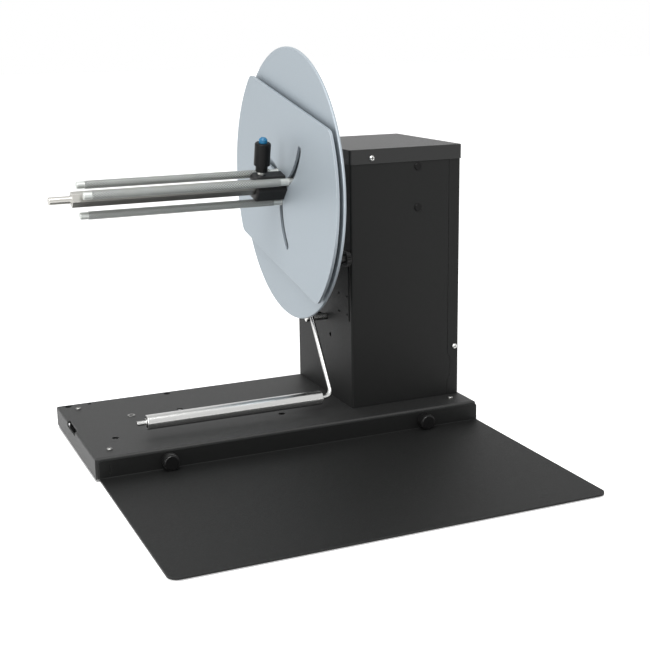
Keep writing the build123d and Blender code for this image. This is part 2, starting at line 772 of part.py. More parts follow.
def slot_side(aside):
    """Points along one side of a slot."""
    share = (slot_end - slot_start) / (slot_steps - 1)
    return [slot_point(slot_start + i * share, aside) for i in range(slot_steps)]


half_slot = slot_width / 2
with BuildPart() as slotted_plate:
    with BuildSketch(round_spindle(slotted_front)):
        Circle(disc_diameter / 2)
        Rectangle(2 * disc_diameter, 2 * slotted_flat, rotation=slotted_flat_tilt, mode=Mode.INTERSECT)
    extrude(amount=slotted_thickness)
    fillet(slotted_plate.edges().filter_by(Axis.X), slotted_corner)
    plate_bore = journal_diameter + 2 * running_fit
    discs(round_spindle(slotted_front), [(0, 0)], plate_bore, slotted_thickness, Mode.SUBTRACT)
    with BuildSketch(mode=Mode.PRIVATE) as rod_slot:
        with BuildLine():
            left_side = Spline(*slot_side(half_slot))
            right_side = Spline(*slot_side(-half_slot))
            ThreePointArc(left_side @ 0, slot_point(slot_start, 0, -half_slot), right_side @ 0)
            ThreePointArc(left_side @ 1, slot_point(slot_end, 0, half_slot), right_side @ 1)
        make_face()
    with BuildSketch(round_spindle(slotted_front)):
        with PolarLocations(0, rod_count, start_angle=rod_first_angle):
            add(rod_slot.sketch)
    extrude(amount=slotted_thickness, mode=Mode.SUBTRACT)
slotted_plate.part.label = "slotted_plate"
export_step(slotted_plate.part, "parts/slotted_plate.step")

clamp_x = base_left + clamp_from_left
clamp_dir = (0, cos(radians(clamp_angle)), sin(radians(clamp_angle)))


def along_clamp(distance):
    """The plane square to the clamp knob's axis, at a distance from the spindle's axis."""
    origin = (clamp_x, axis_y + distance * clamp_dir[1], axis_z + distance * clamp_dir[2])
    return Plane(origin=origin, x_dir=(1, 0, 0), z_dir=clamp_dir)


with BuildPart() as hub_block:
    hexagons(round_spindle(hub_front), [(0, 0)], hub_flats, hub_length, bar_tilt)
    chamfer(hub_block.faces().sort_by(Axis.X)[0].edges(), 1.2)
    bore = journal_diameter + 2 * running_fit
    discs(round_spindle(hub_front), [(0, 0)], bore, hub_length, Mode.SUBTRACT)
    stud_bore = clamp_stud + 2 * sliding_fit
    discs(along_clamp(0), [(0, 0)], stud_bore, hub_flats, Mode.SUBTRACT)
hub_block.part.label = "hub_block"
export_step(hub_block.part, "parts/hub_block.step")

stud_tip = journal_diameter / 2 + moving_gap
ring_start = hub_flats / 2 + moving_gap
stud_end = clamp_neck_end + clamp_stud_hold
with BuildPart() as clamp_stud_piece:
    discs(along_clamp(stud_tip), [(0, 0)], clamp_stud, stud_end - stud_tip)
    discs(along_clamp(ring_start), [(0, 0)], clamp_ring, clamp_ring_end - ring_start)
clamp_stud_piece.part.label = "clamp_stud"
export_step(clamp_stud_piece.part, "parts/clamp_stud.step")

with BuildPart() as clamp_knob:
    discs(along_clamp(clamp_ring_end), [(0, 0)], clamp_neck, clamp_neck_end - clamp_ring_end)
    discs(along_clamp(clamp_neck_end), [(0, 0)], clamp_body, clamp_body_end - clamp_neck_end)
    fillet(clamp_knob.faces().sort_by(Axis((0, 0, 0), clamp_dir))[-1].edges(), clamp_body_edge)
    discs(along_clamp(clamp_ring_end), [(0, 0)], clamp_stud, stud_end - clamp_ring_end, Mode.SUBTRACT)
    well = clamp_button_seat - clamp_button_stroke - moving_gap
    well_bore = clamp_button + 2 * sliding_fit
    discs(along_clamp(well), [(0, 0)], well_bore, clamp_body_end - well, Mode.SUBTRACT)
clamp_knob.part.label = "clamp_knob"
export_step(clamp_knob.part, "parts/clamp_knob.step")

with BuildPart() as clamp_button_piece:
    discs(along_clamp(clamp_button_seat), [(0, 0)], clamp_button, clamp_button_end - clamp_button_seat)
    bevel_tops(clamp_button_piece, along_clamp(clamp_button_seat), 1.8)
clamp_button_piece.part.label = "clamp_button"
export_step(clamp_button_piece.part, "parts/clamp_button.step")

# ---------------------------------------------------------------- core rods
tip_x = base_left + rod_tip
collar_end = disc_front - moving_gap
rear_smooth = slotted_front - rod_end_length - 1.0
washer_x = disc_back + sliding_fit
rod_steps = [
    (tip_x, tip_x + rod_end_length, rod_end_diameter),
    (tip_x + rod_end_length, base_left + rod_band, rod_diameter),
    (base_left + rod_band, base_left + rod_band + rod_band_length, rod_diameter - 0.5),
    (base_left + rod_band + rod_band_length, rear_smooth, rod_diameter),
    (rear_smooth, slotted_front - 1.0, rod_end_diameter),
    (slotted_front - 1.0, collar_end, rod_diameter),
    (collar_end, washer_x + rod_washer_height + rod_nut_height + 1.0, rod_shank),
]
for number, angle in enumerate(rod_angles, start=1):
    spot = (rod_circle * cos(radians(angle)), rod_circle * sin(radians(angle)))
    with BuildPart() as core_rod:
        for start, end, diameter in rod_steps:
            discs(round_spindle(start), [spot], diameter, end - start)
            if start == tip_x:
                fillet(core_rod.faces().sort_by(Axis.X)[0].edges(), 1.0)
    core_rod.part.label = f"core_rod_{number}"
    export_step(core_rod.part, f"parts/core_rod_{number}.step")
    with BuildPart() as rod_nut:
        discs(round_spindle(washer_x), [spot], rod_washer, rod_washer_height)
        nut_x = washer_x + rod_washer_height
        hexagons(round_spindle(nut_x), [spot], rod_nut_flats, rod_nut_height)
        reach = rod_washer_height + rod_nut_height
        discs(round_spindle(washer_x), [spot], rod_shank, reach, Mode.SUBTRACT)
    rod_nut.part.label = f"rod_nut_{number}"
    export_step(rod_nut.part, f"parts/rod_nut_{number}.step")

# ---------------------------------------------------------------- dancer
hub_left = arm_x - arm_rod
hub_right = tower_left - moving_gap
arm_plane_origin = (arm_x, pivot_y, pivot_z)
socket_start = arm_hub_diameter / 2 - arm_socket_depth
with BuildPart() as arm_hub:
    discs(across(hub_left), [(pivot_y, pivot_z)], arm_hub_diameter, hub_right - hub_left)
    chamfer(arm_hub.edges().filter_by(GeomType.CIRCLE), 0.8)
    pivot_bore = pivot_diameter + 2 * running_fit
    discs(across(hub_left), [(pivot_y, pivot_z)], pivot_bore, hub_right - hub_left, Mode.SUBTRACT)
    socket_plane = Plane(origin=arm_plane_origin, x_dir=(1, 0, 0), z_dir=(0, -arm_dir[0], -arm_dir[1]))
    discs(socket_plane.offset(socket_start), [(0, 0)], arm_rod, arm_hub_diameter, Mode.SUBTRACT)
arm_hub.part.label = "arm_hub"
export_step(arm_hub.part, "parts/arm_hub.step")

with BuildPart() as dancer_arm:
    with BuildLine() as arm_path:
        FilletPolyline(
            (roller_left - axle_stub, roller_y, roller_z),
            (arm_x, roller_y, roller_z),
            (arm_x, pivot_y - socket_start * arm_dir[0], pivot_z - socket_start * arm_dir[1]),
            radius=arm_bend,
        )
    with BuildSketch(across(roller_left - axle_stub, roller_y, roller_z)):
        Circle(arm_rod / 2)
    sweep(path=arm_path.wire())
dancer_arm.part.label = "dancer_arm"
export_step(dancer_arm.part, "parts/dancer_arm.step")

with BuildPart() as roller_clips:
    for clip_x in (roller_left - moving_gap - clip_thickness, roller_right + moving_gap):
        discs(across(clip_x), [(roller_y, roller_z)], clip_diameter, clip_thickness)
        discs(across(clip_x), [(roller_y, roller_z)], arm_rod, clip_thickness, Mode.SUBTRACT)
roller_clips.part.label = "roller_clips"
export_step(roller_clips.part, "parts/roller_clips.step")

with BuildPart() as roller_tube:
    discs(across(roller_left), [(roller_y, roller_z)], roller_diameter, roller_length)
    chamfer(roller_tube.edges().filter_by(GeomType.CIRCLE), 0.5)
    discs(across(roller_left), [(roller_y, roller_z)], roller_bore, roller_length, Mode.SUBTRACT)
roller_tube.part.label = "roller_tube"
export_step(roller_tube.part, "parts/roller_tube.step")

with BuildPart() as roller_bushes:
    for bush_x in (roller_left, roller_right - roller_bush_length):
        discs(across(bush_x), [(roller_y, roller_z)], roller_bore, roller_bush_length)
        axle_bore = arm_rod + 2 * sliding_fit
        discs(across(bush_x), [(roller_y, roller_z)], axle_bore, roller_bush_length, Mode.SUBTRACT)
roller_bushes.part.label = "roller_bushes"
export_step(roller_bushes.part, "parts/roller_bushes.step")

with BuildPart() as arm_pivot_bolt:
    shoulder_x = hub_left - moving_gap
    pivot_spot = [(pivot_y, pivot_z)]
    discs(across(shoulder_x), pivot_spot, pivot_head, -pivot_head_height)
    chamfer(arm_pivot_bolt.faces().sort_by(Axis.X)[0].edges(), 0.8)
    discs(across(shoulder_x), pivot_spot, pivot_diameter, tower_left - shoulder_x)
    discs(across(tower_left), pivot_spot, pivot_thread, tower_sheet + pivot_nut_height + pivot_past_nut)
    discs(across(shoulder_x - pivot_head_height), pivot_spot, pivot_recess, pivot_recess_depth, Mode.SUBTRACT)
arm_pivot_bolt.part.label = "arm_pivot_bolt"
export_step(arm_pivot_bolt.part, "parts/arm_pivot_bolt.step")

with BuildPart() as arm_pivot_nut:
    hexagons(across(wall_inside), pivot_spot, pivot_nut_flats, pivot_nut_height)
    discs(across(wall_inside), pivot_spot, pivot_thread, pivot_nut_height, Mode.SUBTRACT)
arm_pivot_nut.part.label = "arm_pivot_nut"
export_step(arm_pivot_nut.part, "parts/arm_pivot_nut.step")

with BuildPart() as arm_stop_peg:
    peg_spot = [(peg_y, peg_z)]
    peg_left = arm_x - arm_rod
    discs(across(tower_left), peg_spot, peg_diameter, peg_left - tower_left)
    chamfer(arm_stop_peg.faces().sort_by(Axis.X)[0].edges(), 0.6)
    discs(across(tower_left), peg_spot, peg_screw, tower_sheet + peg_nut_height + 2.0)
arm_stop_peg.part.label = "arm_stop_peg"
export_step(arm_stop_peg.part, "parts/arm_stop_peg.step")

with BuildPart() as arm_stop_nut:
    discs(across(wall_inside), peg_spot, 1.4 * peg_nut_flats, 0.8)
    hexagons(across(wall_inside + 0.8), peg_spot, peg_nut_flats, peg_nut_height)
    discs(across(wall_inside), peg_spot, peg_screw, 0.8 + peg_nut_height, Mode.SUBTRACT)
arm_stop_nut.part.label = "arm_stop_nut"
export_step(arm_stop_nut.part, "parts/arm_stop_nut.step")

# ---------------------------------------------------------------- brake and its tension
slider_x = wall_inside + moving_gap
arm_top = tension_z + slider_height / 2
with BuildPart() as tension_slider:
    with BuildSketch(across(slider_x, tension_y, tension_z)):
        RectangleRounded(slider_width, slider_height, 1.5)
    extrude(amount=slider_thickness)
    # arm that the spring hangs from
    with BuildSketch(Plane.XY.offset(arm_top)):
        with BuildLine():
            Polyline(
                (slider_x, tension_y - slider_width / 2),
                (spring_x + spring_diameter, tension_y - slider_width / 2),
                (spring_x + spring_diameter, spring_y + spring_diameter),
                (spring_x - spring_diameter, spring_y + spring_diameter),
                (slider_x, tension_y + slider_width / 2),
                close=True,
            )
        make_face()
    extrude(amount=-slider_arm_thickness)
    tension_face = tower_left - moving_gap - tension_rim_depth - tension_boss_depth
    discs(across(slider_x), [(tension_y, tension_z)], tension_stud, tension_face - slider_x + 0.4)
tension_slider.part.label = "tension_slider"
export_step(tension_slider.part, "parts/tension_slider.step")

with BuildPart() as tension_knob:
    rim_right = tower_left - moving_gap
    with BuildSketch(across(rim_right)):
        with Locations((tension_y, tension_z)):
            Circle(tension_rim / 2)
            with PolarLocations(tension_rim / 2, tension_flutes):
                Rectangle(tension_flute, tension_flute, rotation=45, mode=Mode.SUBTRACT)
    extrude(amount=-tension_rim_depth)
    boss_x = rim_right - tension_rim_depth
    discs(across(boss_x), [(tension_y, tension_z)], tension_boss, -tension_boss_depth)
    fillet(tension_knob.faces().sort_by(Axis.X)[0].edges(), 1.2)
    through_knob = -(tension_rim_depth + tension_boss_depth)
    bore = tension_stud + 2 * sliding_fit
    discs(across(rim_right), [(tension_y, tension_z)], bore, through_knob, Mode.SUBTRACT)
tension_knob.part.label = "tension_knob"
export_step(tension_knob.part, "parts/tension_knob.step")

lever_front = spring_y - axis_y - spring_diameter
lever_x = drum_left + (drum_width - lever_width) / 2
with BuildPart() as brake_lever:
    with BuildSketch(round_spindle(lever_x)):
        lever_middle = (lever_front + lever_pivot[0]) / 2
        with Locations((lever_middle, lever_pivot[1])):
            Rectangle(lever_pivot[0] - lever_front, lever_thickness)
        with Locations(lever_pivot):
            Circle(lever_pivot_diameter)
            Circle(lever_pivot_diameter / 2, mode=Mode.SUBTRACT)
    extrude(amount=lever_width)
brake_lever.part.label = "brake_lever"
export_step(brake_lever.part, "parts/brake_lever.step")

with BuildPart() as brake_pad:
    with BuildSketch(round_spindle(lever_x)):
        with Locations((0, drum_diameter / 2 + pad_thickness - pad_length / 4)):
            Rectangle(pad_length, pad_length / 2)
        Circle(drum_diameter / 2 + sliding_fit, mode=Mode.SUBTRACT)
    extrude(amount=lever_width)
brake_pad.part.label = "brake_pad"
export_step(brake_pad.part, "parts/brake_pad.step")

with BuildPart() as brake_pivot:
    pivot_reach = lever_x + lever_width + 2.0 - wall_inside
    discs(round_spindle(wall_inside), [lever_pivot], lever_pivot_diameter, pivot_reach)
    collar_reach = lever_x - wall_inside
    discs(round_spindle(wall_inside), [lever_pivot], lever_pivot_diameter + 4, collar_reach)
brake_pivot.part.label = "brake_pivot"
export_step(brake_pivot.part, "parts/brake_pivot.step")

with BuildPart() as brake_spring:
    spring_length = lever_bottom - arm_top
    discs(Plane.XY.offset(arm_top), [(spring_x, spring_y)], spring_diameter, spring_length)
    discs(Plane.XY.offset(arm_top), [(spring_x, spring_y)], spring_bore, spring_length, Mode.SUBTRACT)
brake_spring.part.label = "brake_spring"
export_step(brake_spring.part, "parts/brake_spring.step")
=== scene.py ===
"""Looks of a bench-top manual label rewinder, over its packed construction model.

As an add-on it offers one operator for each group of pieces and one for the stage, with
their settings in a sidebar panel. Run as a script it applies them all in order.
"""
from math import cos, pi, radians, sin

import bmesh
import bpy
from mathutils import Matrix, Vector


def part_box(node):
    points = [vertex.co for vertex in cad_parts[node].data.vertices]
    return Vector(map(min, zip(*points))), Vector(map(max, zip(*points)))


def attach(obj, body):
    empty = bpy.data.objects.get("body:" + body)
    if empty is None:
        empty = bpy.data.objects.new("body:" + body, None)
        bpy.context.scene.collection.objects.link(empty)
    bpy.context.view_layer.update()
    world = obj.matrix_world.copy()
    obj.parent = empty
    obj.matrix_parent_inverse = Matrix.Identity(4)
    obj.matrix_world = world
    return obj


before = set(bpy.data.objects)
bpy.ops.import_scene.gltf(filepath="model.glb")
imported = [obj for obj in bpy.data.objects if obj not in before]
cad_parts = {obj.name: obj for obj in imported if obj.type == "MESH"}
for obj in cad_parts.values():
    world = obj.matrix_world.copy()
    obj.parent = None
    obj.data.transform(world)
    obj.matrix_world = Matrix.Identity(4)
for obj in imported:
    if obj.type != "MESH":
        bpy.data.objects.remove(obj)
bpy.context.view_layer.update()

bl_info = {
    "name": "Label Rewinder Looks",
    "version": (1, 0, 0),
    "blender": (4, 5, 0),
    "location": "View3D > Sidebar > Rewinder",
    "description": "Finishes, screw recesses and studio stage of a bench-top label rewinder",
    "category": "Object",
}

# Places in metres, in the shared frame
BASE_LEFT = -0.2165
BASE_FRONT = -0.007
EDGE_HEIGHT = 0.003
AXIS = Vector((0.0, BASE_FRONT + 0.1141, EDGE_HEIGHT + 0.2686))
ROD_CIRCLE = 0.019
ROD_ANGLES = (43.0, 163.0, 283.0)
ROD_RADIUS = 0.0045
ROD_KNURL_START = BASE_LEFT + 0.0344
ROD_KNURL_END = BASE_LEFT + 0.2434

# Shared effects: the rounding that every edge shows, how fast and how finely the edge marks spread from an
# edge, partly real rubbing and partly a painted highlight along the edges, and how flat the knurls' crests
# are
EDGE_ROUNDING = 0.0004
EDGE_WEAR_HIGHLIGHT_GAIN = 9.0
EDGE_WEAR_HIGHLIGHT_NOISE_SCALE = 220.0
KNURL_CREST_GAIN = 1.5

# Screw heads, and the near-black cross pieces that paint shade into their recesses
PAN_HEAD_RADIUS = 0.003
RECESS_ARM = 0.0017
RECESS_WIDTH = 0.0004
RECESS_DEPTH = 0.0009
RECESS_STANDS_OUT = 0.00004
RECESS_FLOOR_SHARE = 0.55

# The camera of the photograph
CAMERA_PLACE = (-0.4491, -1.1405, 0.4423)
CAMERA_YAW = 23.241
CAMERA_PITCH = -13.974
CAMERA_ROLL = -0.9
CAMERA_LENS = 66.19
CAMERA_SENSOR = 36.0

# The studio: half the floor's width, what the lights point at, and each light's place and width
FLOOR_REACH = 12.0
LIGHT_AIM = Vector((0.05, 0.05, 0.15))
KEY_LIGHT = ((-0.5, -0.6, 1.6), 1.2)
SIDE_LIGHT = ((-1.5, -0.5, 0.6), 0.9)


# ---------------------------------------------------------------- node helpers
def add_node(tree, kind, inputs=None, **settings):
    """Add a node, set its properties, and set or link its inputs."""
    made = tree.nodes.new(kind)
    for key, value in settings.items():
        setattr(made, key, value)
    for key, value in (inputs or {}).items():
        if isinstance(value, bpy.types.NodeSocket):
            tree.links.new(value, made.inputs[key])
        else:
            made.inputs[key].default_value = value
    return made


def maths(tree, operation, first, second=0.0):
    """One maths node's result."""
    made = add_node(tree, "ShaderNodeMath", {0: first, 1: second}, operation=operation)
    return made.outputs[0]


def new_group(name, inputs, outputs):
    """An empty shader group with float, vector and colour sockets, and its two end nodes."""
    tree = bpy.data.node_groups.new(name, "ShaderNodeTree")
    for label, kind, default in inputs:
        socket = tree.interface.new_socket(label, in_out="INPUT", socket_type=f"NodeSocket{kind}")
        socket.default_value = default
    for label, kind in outputs:
        tree.interface.new_socket(label, in_out="OUTPUT", socket_type=f"NodeSocket{kind}")
    start = tree.nodes.new("NodeGroupInput")
    end = tree.nodes.new("NodeGroupOutput")
    return tree, start.outputs, end


def once(name, build):
    """The shader group of that name, built the first time it is asked for."""
    return bpy.data.node_groups.get(name) or build(name)


def build_grain(name):
    """Noise, stretched by a scale on each axis, as a value and a bumped normal."""
    inputs = [("Scale", "Float", 1000.0), ("Depth", "Float", 0.0), ("Stretch", "Vector", (1, 1, 1))]
    tree, given, end = new_group(name, inputs, [("Value", "Float"), ("Normal", "Vector")])
    place = add_node(tree, "ShaderNodeTexCoord").outputs["Object"]
    mapped = add_node(tree, "ShaderNodeMapping", {"Vector": place, "Scale": given["Stretch"]})
    noise = add_node(
        tree,
        "ShaderNodeTexNoise",
        {"Vector": mapped.outputs[0], "Scale": given["Scale"], "Detail": 4.0, "Roughness": 0.6},
    )
    edge = add_node(tree, "ShaderNodeBevel", {"Radius": EDGE_ROUNDING}, samples=4)
    bump_inputs = {"Height": noise.outputs[0], "Distance": given["Depth"], "Normal": edge.outputs[0]}
    bump = add_node(tree, "ShaderNodeBump", bump_inputs)
    tree.links.new(noise.outputs[0], end.inputs["Value"])
    tree.links.new(bump.outputs[0], end.inputs["Normal"])
    return tree


def build_wear_and_highlight(name):
    """A mask of worn edges, broken up by noise; the same mask places a painted highlight along the edges."""
    inputs = [("Width", "Float", 0.0006), ("Amount", "Float", 0.5)]
    tree, given, end = new_group(name, inputs, [("Mask", "Float")])
    edge = add_node(tree, "ShaderNodeBevel", {"Radius": given["Width"]}, samples=6)
    flat = add_node(tree, "ShaderNodeNewGeometry").outputs["Normal"]
    dot = add_node(tree, "ShaderNodeVectorMath", {0: edge.outputs[0], 1: flat}, operation="DOT_PRODUCT")
    turned = maths(tree, "SUBTRACT", 1.0, dot.outputs["Value"])
    place = add_node(tree, "ShaderNodeTexCoord").outputs["Object"]
    noise_inputs = {"Vector": place, "Scale": EDGE_WEAR_HIGHLIGHT_NOISE_SCALE, "Detail": 3.0}
    noise = add_node(tree, "ShaderNodeTexNoise", noise_inputs)
    worn_and_lit = maths(tree, "MULTIPLY", maths(tree, "MULTIPLY", turned, noise.outputs[0]), EDGE_WEAR_HIGHLIGHT_GAIN)
    limited = add_node(tree, "ShaderNodeClamp", {"Value": worn_and_lit})
    result = maths(tree, "MULTIPLY", limited.outputs[0], given["Amount"])
    tree.links.new(result, end.inputs["Mask"])
    return tree


def build_knurl(name):
    """Diamond knurling round an axis along X, as a value and a bumped normal; the value also places painted
    shade in the grooves.
    """
    inputs = [
        ("Centre", "Vector", (0, 0, 0)),
        ("Radius", "Float", 0.0045),
        ("Pitch", "Float", 0.001),
        ("Depth", "Float", 0.0005),
        ("Start", "Float", -1.0),
        ("End", "Float", 1.0),
        ("Normal", "Vector", (0, 0, 1)),
    ]
    tree, given, end = new_group(name, inputs, [("Value", "Float"), ("Normal", "Vector")])
    place = add_node(tree, "ShaderNodeTexCoord").outputs["Object"]
    local = add_node(tree, "ShaderNodeVectorMath", {0: place, 1: given["Centre"]}, operation="SUBTRACT")
    parts = add_node(tree, "ShaderNodeSeparateXYZ", {0: local.outputs[0]}).outputs
    angle = maths(tree, "ARCTAN2", parts["Z"], parts["Y"])
    around = maths(tree, "DIVIDE", maths(tree, "MULTIPLY", angle, given["Radius"]), given["Pitch"])
    along = maths(tree, "DIVIDE", parts["X"], given["Pitch"])
    waves = []
    for operation in ("ADD", "SUBTRACT"):
        phase = maths(tree, operation, around, along)
        waves.append(maths(tree, "ABSOLUTE", maths(tree, "SINE", maths(tree, "MULTIPLY", phase, pi))))
    after_start = maths(tree, "GREATER_THAN", parts["X"], given["Start"])
    before_end = maths(tree, "LESS_THAN", parts["X"], given["End"])
    knurled = maths(tree, "MULTIPLY", after_start, before_end)
    ridge = maths(tree, "MULTIPLY", maths(tree, "MULTIPLY", waves[0], waves[1]), KNURL_CREST_GAIN)
    limited = add_node(tree, "ShaderNodeClamp", {"Value": ridge})
    shaded_groove = maths(tree, "SUBTRACT", 1.0, limited.outputs[0])
    height = maths(tree, "SUBTRACT", 1.0, maths(tree, "MULTIPLY", shaded_groove, knurled))
    bump_inputs = {"Height": height, "Distance": given["Depth"], "Normal": given["Normal"]}
    bump = add_node(tree, "ShaderNodeBump", bump_inputs)
    tree.links.new(height, end.inputs["Value"])
    tree.links.new(bump.outputs[0], end.inputs["Normal"])
    return tree


def use_group(tree, name, build, inputs):
    """Place a shared group in a material."""
    made = tree.nodes.new("ShaderNodeGroup")
    made.node_tree = once(name, build)
    for key, value in inputs.items():
        made.inputs[key].default_value = value
    return made


def make_material(name, look):
    """A procedural finish: tinted grain, uneven gloss, edges lightened partly by rubbing and partly by a
    painted highlight and, if asked, knurling with painted shade in its grooves.
    """
    material = bpy.data.materials.new(name)
    material.use_nodes = True
    tree = material.node_tree
    tree.nodes.clear()
    grain_inputs = {"Scale": look["grain"], "Depth": look["depth"], "Stretch": look.get("stretch", (1, 1, 1))}
    grain = use_group(tree, "Grain", build_grain, grain_inputs)
    wear_and_highlight = use_group(tree, "Edge Wear And Highlight", build_wear_and_highlight, {"Amount": look.get("wear_and_highlight", 0.3)})
    base = (*look["color"], 1.0)
    shade = (*[channel * look.get("mottle", 0.85) for channel in look["color"]], 1.0)
    tint = add_node(tree, "ShaderNodeMix", data_type="RGBA")
    tree.links.new(grain.outputs["Value"], tint.inputs["Factor"])
    tint.inputs["A"].default_value = shade
    tint.inputs["B"].default_value = base
    # Edge colour: partly real rubbing, partly a painted highlight along the edges
    rubbed_and_highlight = add_node(tree, "ShaderNodeMix", data_type="RGBA")
    tree.links.new(wear_and_highlight.outputs["Mask"], rubbed_and_highlight.inputs["Factor"])
    tree.links.new(tint.outputs["Result"], rubbed_and_highlight.inputs["A"])
    rubbed_and_highlight.inputs["B"].default_value = (*look.get("rubbed_and_highlight", look["color"]), 1.0)
    gloss_inputs = {
        "Value": grain.outputs["Value"],
        "From Min": 0.3,
        "From Max": 0.7,
        "To Min": look["roughness"] - look.get("uneven", 0.05),
        "To Max": look["roughness"] + look.get("uneven", 0.05),
    }
    gloss = add_node(tree, "ShaderNodeMapRange", gloss_inputs)
    normal = grain.outputs["Normal"]
    color = rubbed_and_highlight.outputs["Result"]
    if "knurl" in look:
        knurl = use_group(tree, "Knurl", build_knurl, look["knurl"])
        tree.links.new(normal, knurl.inputs["Normal"])
        normal = knurl.outputs["Normal"]
        # Painted shade: the knurls' grooves take a near-black colour where shade falls on real knurling
        groove_shade_mix = add_node(tree, "ShaderNodeMix", data_type="RGBA")
        groove_shade_mix.inputs["A"].default_value = (*look["shaded_groove"], 1.0)
        tree.links.new(knurl.outputs["Value"], groove_shade_mix.inputs["Factor"])
        tree.links.new(color, groove_shade_mix.inputs["B"])
        color = groove_shade_mix.outputs["Result"]
    surface_inputs = {
        "Base Color": color,
        "Roughness": gloss.outputs[0],
        "Metallic": look.get("metallic", 0.0),
        "Specular IOR Level": look.get("specular", 0.5),
        "Normal": normal,
    }
    if "lifted" in look:
        surface_inputs["Emission Color"] = (1.0, 1.0, 1.0, 1.0)
        surface_inputs["Emission Strength"] = maths(tree, "MULTIPLY", seen_clear(tree), look["lifted"])
    surface = add_node(tree, "ShaderNodeBsdfPrincipled", surface_inputs)
    add_node(tree, "ShaderNodeOutputMaterial", {"Surface": surface.outputs[0]})
    return material


def seen_directly(tree):
    """One for the camera and for reflections, nothing for the light that falls on things."""
    path = add_node(tree, "ShaderNodeLightPath").outputs
    return maths(tree, "MAXIMUM", path["Is Camera Ray"], path["Is Glossy Ray"])


def seen_clear(tree):
    """As seen_directly, but nothing for the floor under the tray."""
    seen = seen_directly(tree)
    place = add_node(tree, "ShaderNodeTexCoord").outputs["Object"]
    parts = add_node(tree, "ShaderNodeSeparateXYZ", {0: place}).outputs
    lowest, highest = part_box("base_tray")
    beyond = []
    for axis, index in (("X", 0), ("Y", 1)):
        middle = (lowest[index] + highest[index]) / 2
        half = (highest[index] - lowest[index]) / 2
        distance = maths(tree, "ABSOLUTE", maths(tree, "SUBTRACT", parts[axis], middle))
        beyond.append(maths(tree, "GREATER_THAN", distance, half))
    return maths(tree, "MULTIPLY", seen, maths(tree, "MAXIMUM", beyond[0], beyond[1]))


def paint(material, names):
    """Give the named construction nodes one material."""
    for name in names:
        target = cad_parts[name]
        target.data.materials.clear()
        target.data.materials.append(material)


# ---------------------------------------------------------------- settings
class RewinderFinishes(bpy.types.PropertyGroup):
    """Colours and textures of the machine's finishes"""

    coat_color: bpy.props.FloatVectorProperty(
        name="Coat Colour", description="Powder coat of the sheet metal", default=(0.007, 0.0074, 0.0071),
        size=3, subtype="COLOR", min=0.0, max=1.0,
    )
    coat_grain: bpy.props.FloatProperty(
        name="Coat Grain", description="Height of the powder coat's texture", default=0.00022,
        unit="LENGTH", precision=5, min=0.0,
    )
    plate_color: bpy.props.FloatVectorProperty(
        name="Disc Colour", description="Satin finish of the disc and the slotted plate",
        default=(0.325, 0.37, 0.405), size=3, subtype="COLOR", min=0.0, max=1.0,
    )
    button_color: bpy.props.FloatVectorProperty(
        name="Button Colour", description="Moulded button in the clamp knob", default=(0.004, 0.13, 0.27),
        size=3, subtype="COLOR", min=0.0, max=1.0,
    )
    knurl_pitch: bpy.props.FloatProperty(
        name="Knurl Pitch", description="Distance between the rods' knurls", default=0.0032,
        unit="LENGTH", precision=5, min=0.0002,
    )


class RewinderStage(bpy.types.PropertyGroup):
    """Lights and floor of the studio"""

    key_power: bpy.props.FloatProperty(
        name="Key Light", description="Power of the large light above", default=26.0, unit="POWER", min=0.0,
    )
    side_power: bpy.props.FloatProperty(
        name="Side Light", description="Power of the light on the left", default=9.0, unit="POWER", min=0.0,
    )
    sky: bpy.props.FloatProperty(
        name="Surround", description="Brightness of the white surround", default=0.75, min=0.0,
    )


class REWINDER_OT_sheet_metal(bpy.types.Operator):
    """Black textured powder coat on the tray, the front plate and the tower"""

    bl_idname = "rewinder.sheet_metal"
    bl_label = "Coat Sheet Metal"
    bl_options = {"REGISTER", "UNDO"}

    def execute(self, context):
        finishes = context.scene.rewinder_finishes
        # The light edge colour is partly rubbing and partly a painted highlight on the coat's edges
        look = {
            "color": tuple(finishes.coat_color), "grain": 1500.0, "depth": finishes.coat_grain,
            "roughness": 0.56, "uneven": 0.1, "wear_and_highlight": 0.2, "rubbed_and_highlight": (0.12, 0.13, 0.125), "mottle": 0.5,
            "specular": 0.22,
        }
        paint(make_material("Powder Coat", look), ["front_plate", "tower_frame", "tower_side_cover"])
        glossier = dict(look, specular=0.55, wear_and_highlight=0.35)
        paint(make_material("Powder Coat Tray", glossier), ["base_tray"])
        lid = dict(look, specular=0.42, roughness=0.42)
        paint(make_material("Powder Coat Lid", lid), ["tower_cap"])
        return {"FINISHED"}


class REWINDER_OT_plates(bpy.types.Operator):
    """Satin aluminium on the disc and the slotted plate"""

    bl_idname = "rewinder.plates"
    bl_label = "Finish Chuck Plates"
    bl_options = {"REGISTER", "UNDO"}

    def execute(self, context):
        finishes = context.scene.rewinder_finishes
        # The pale edge colour gives a bright rim, partly rubbing and partly a painted highlight
        look = {
            "color": tuple(finishes.plate_color), "metallic": 0.5, "grain": 900.0, "depth": 0.000008,
            "stretch": (1.0, 0.5, 1.0), "roughness": 0.5, "uneven": 0.05, "wear_and_highlight": 0.6,
            "rubbed_and_highlight": (0.8, 0.82, 0.84), "mottle": 0.97,
        }
        paint(make_material("Satin Plate", look), ["flange_disc", "slotted_plate"])
        hub = dict(
            look, color=(0.005, 0.005, 0.005), metallic=0.0, mottle=0.7, specular=0.3, wear_and_highlight=0.2,
            rubbed_and_highlight=(0.2, 0.2, 0.2),
        )
        paint(make_material("Black Anodised", hub), ["hub_block"])
        machined = dict(look, color=(0.62, 0.63, 0.64), metallic=1.0, roughness=0.33)
        turned = ["bearing_housing", "bearing_plate", "flange_hub", "arm_hub"]
        paint(make_material("Machined", machined), turned)
        return {"FINISHED"}


